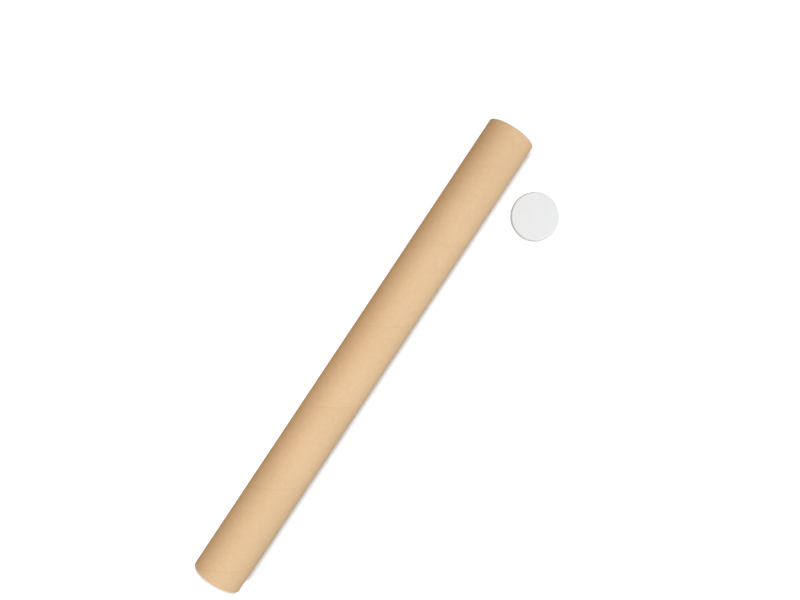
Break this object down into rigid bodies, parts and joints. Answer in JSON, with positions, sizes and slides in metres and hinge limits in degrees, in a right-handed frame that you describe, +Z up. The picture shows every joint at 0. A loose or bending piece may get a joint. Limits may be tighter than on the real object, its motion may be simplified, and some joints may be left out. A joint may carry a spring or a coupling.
{
  "type": "cardboard mailing tube",
  "caption": "Long round kraft board postal tube lying on its side, one end closed by a white push-in plastic cap, the other end open with its cap laid beside it.",
  "frame": {"origin": "on the surface the tube lies on, under the middle of the box round the tube and both caps", "axes": "+X along the tube towards its open mouth, +Y from the loose cap towards the tube, +Z up"},
  "size_m": [0.653, 0.1486, 0.063],
  "materials": {
    "kraft_board": "uncoated brown kraft paper over spirally wound solid board, matt",
    "white_plastic": "soft white polyethylene, satin, as moulded"
  },
  "bodies": {
    "tube": {"tube": "kraft_board", "end_cap_loose": "white_plastic"},
    "end_cap": {"end_cap_fitted": "white_plastic"}
  },
  "joints": [
    {"name": "cap_pull", "type": "slide", "parent": "tube", "child": "end_cap", "axis": [-1, 0, 0], "range_m": [0, 0.02]}
  ]
}
